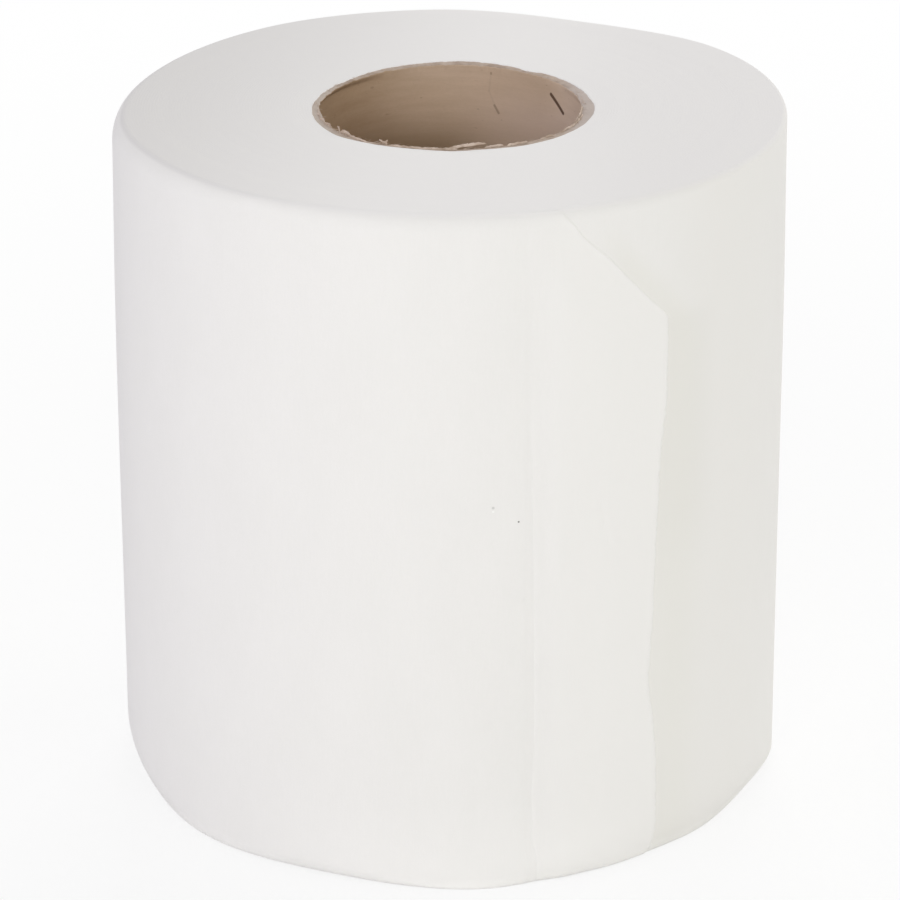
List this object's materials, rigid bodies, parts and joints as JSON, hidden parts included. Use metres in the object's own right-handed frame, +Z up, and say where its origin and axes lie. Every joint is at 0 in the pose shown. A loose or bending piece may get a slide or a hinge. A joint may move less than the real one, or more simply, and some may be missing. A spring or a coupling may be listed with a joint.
{
  "type": "cleaning paper roll",
  "caption": "Upright roll of plain white cleaning paper wound on an open card tube, with soft pressed rims and a loose tail whose upper corner is torn off.",
  "frame": {"origin": "middle of the lower end, on the surface that the roll stands on", "axes": "+Z up along the roll and its tube; -Y is the front, and the tail's free edge lies to the right of the front, towards +X"},
  "size_m": [0.1917, 0.192, 0.1995],
  "materials": {
    "paper": "matte soft tissue",
    "card": "raw brown board"
  },
  "bodies": {
    "root": {"paper_roll": "paper", "core_tube": "card"}
  },
  "joints": []
}
